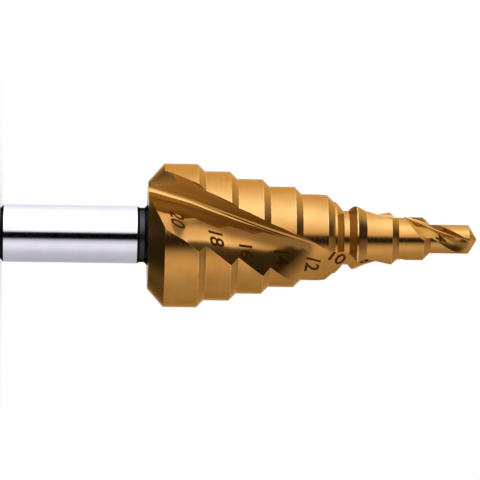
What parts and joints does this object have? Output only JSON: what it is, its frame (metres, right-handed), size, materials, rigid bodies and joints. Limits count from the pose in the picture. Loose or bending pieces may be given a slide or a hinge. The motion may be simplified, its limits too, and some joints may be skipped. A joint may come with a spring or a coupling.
{
  "type": "step drill",
  "caption": "Stepped conical drill bit with two spiral flutes, a short fluted pilot with a point, a necked round shank and a gold-coloured coated head.",
  "frame": {"origin": "centre of the flat end of the shank", "axes": "+Z along the axis, from the shank end towards the point; +X and +Y as drawn, with one flute opening towards -Y at mid height"},
  "size_m": [0.02, 0.02, 0.0665],
  "materials": {
    "coated_steel": "ground high-speed steel; gold-coloured titanium nitride on the head, bright bare steel on the shank"
  },
  "bodies": {
    "root": {"step_drill": "coated_steel"}
  },
  "joints": []
}
